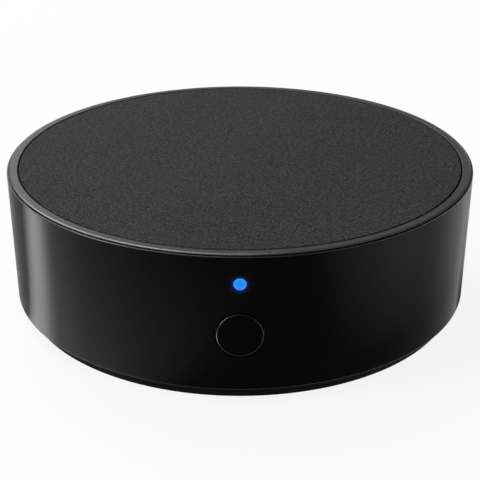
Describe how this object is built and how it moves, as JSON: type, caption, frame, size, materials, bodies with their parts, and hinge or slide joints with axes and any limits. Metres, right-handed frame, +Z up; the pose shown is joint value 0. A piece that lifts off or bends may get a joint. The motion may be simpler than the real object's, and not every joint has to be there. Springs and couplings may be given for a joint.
{
  "type": "smart infrared blaster",
  "caption": "Low round infrared blaster puck with a textured top disc, a glossy dark wall, a front button under a blue status light, and a power socket at the back.",
  "frame": {"origin": "centre of the underside, on the surface that the puck stands on", "axes": "+Z up through the textured disc, -Y out of the front, through the button and the status light, +Y out of the back, through the power socket"},
  "size_m": [0.1, 0.1, 0.0316],
  "materials": {
    "rim_plastic": "satin moulded plastic",
    "inset_skin": "fine-grained soft-touch skin",
    "adhesive": "acrylic adhesive sheet",
    "gloss_shell": "polished infrared-pass plastic",
    "base_plastic": "fine spark-eroded texture",
    "pad_rubber": "matte anti-slip silicone",
    "screw_steel": "zinc plated",
    "button_plastic": "polished",
    "light_plastic": "clear light pipe, lit blue",
    "shield_silicone": "matte silicone",
    "port_plastic": "fine texture",
    "board_laminate": "solder mask over copper traces",
    "pin_gold": "gold plated",
    "switch_plastic": "moulded",
    "sheet_steel": "rolled sheet",
    "plunger_plastic": "moulded",
    "status_chip": "clear lens over a blue chip",
    "receiver_plastic": "dark filter epoxy",
    "lens_epoxy": "blue-grey epoxy",
    "tinned_lead": "tinned",
    "resistor_ceramic": "matte chip",
    "radio_laminate": "blue solder mask",
    "socket_steel": "drawn and nickel plated",
    "capacitor_can": "drawn can",
    "coil_ferrite": "pressed ferrite",
    "chip_plastic": "moulded"
  },
  "bodies": {
    "housing": {"top_cover": "rim_plastic", "top_inset": "inset_skin", "inset_adhesive": "adhesive", "side_shell": "gloss_shell", "base_cover": "base_plastic", "base_pad": "pad_rubber", "case_screws": "screw_steel", "light_pipe": "light_plastic", "light_shield": "shield_silicone", "port_frame": "port_plastic", "main_board": "board_laminate", "board_screws": "screw_steel", "ui_board": "board_laminate", "pin_block": "chip_plastic", "link_pins": "pin_gold", "switch_housing": "switch_plastic", "switch_plate": "sheet_steel", "switch_dome": "sheet_steel", "status_led": "status_chip", "ir_receiver": "receiver_plastic", "ir_led_lenses": "lens_epoxy", "ir_led_leads": "tinned_lead", "led_resistors": "resistor_ceramic", "radio_board": "radio_laminate", "radio_can": "sheet_steel", "usb_socket": "socket_steel", "usb_insert": "chip_plastic", "capacitors": "capacitor_can", "power_coil": "coil_ferrite", "regulator_chip": "chip_plastic", "driver_chips": "chip_plastic"},
    "button": {"button_cap": "button_plastic", "switch_plunger": "plunger_plastic"}
  },
  "joints": [
    {"name": "button_press", "type": "slide", "parent": "housing", "child": "button", "axis": [0, 1, 0], "range_m": [0, 0.00035], "stiffness_N_per_m": 3000}
  ]
}
